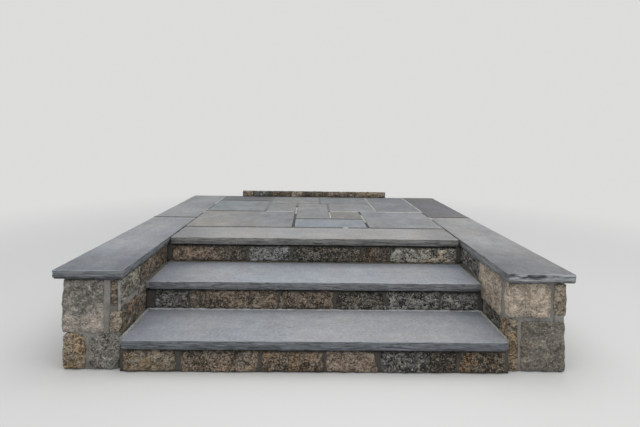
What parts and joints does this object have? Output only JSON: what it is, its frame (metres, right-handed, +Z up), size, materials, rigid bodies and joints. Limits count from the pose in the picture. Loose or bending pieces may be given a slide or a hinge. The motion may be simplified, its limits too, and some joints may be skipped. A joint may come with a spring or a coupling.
{
  "type": "outdoor stone steps",
  "caption": "Low flight of bluestone treads on rubble risers, rising between coped rubble cheek walls to a paved landing at a house door.",
  "frame": {"origin": "on the ground, in the middle of the footprint", "axes": "+X to the right seen from the path, +Y towards the house wall, +Z up"},
  "size_m": [2.768, 2.772, 0.6],
  "materials": {
    "bluestone": "matte",
    "paving_stone": "matte",
    "rubble_stone": "matte",
    "concrete": "matte",
    "mortar": "matte"
  },
  "bodies": {
    "root": {"tread_lower": "bluestone", "tread_upper": "bluestone", "landing_nosing": "bluestone", "left_coping_front": "bluestone", "left_coping_rear": "bluestone", "right_coping_front": "bluestone", "right_coping_rear": "bluestone", "landing_slab_front_left": "paving_stone", "landing_slab_front_middle": "paving_stone", "landing_slab_front_right": "paving_stone", "landing_slab_centre": "paving_stone", "landing_slab_small": "paving_stone", "landing_slab_left": "paving_stone", "landing_slab_inner_left": "paving_stone", "landing_slab_inner_right": "paving_stone", "landing_slab_right": "paving_stone", "landing_slab_rear_left": "paving_stone", "landing_slab_door_left": "paving_stone", "landing_slab_door_right": "paving_stone", "left_cheek_wall": "rubble_stone", "right_cheek_wall": "rubble_stone", "rear_wall": "rubble_stone", "riser_lower": "rubble_stone", "riser_middle": "rubble_stone", "riser_upper": "rubble_stone", "door_sill_course": "rubble_stone", "core_lower_course": "concrete", "core_middle_course": "concrete", "core_upper_course": "concrete", "landing_pointing": "mortar", "left_coping_pointing": "mortar", "right_coping_pointing": "mortar"}
  },
  "joints": []
}
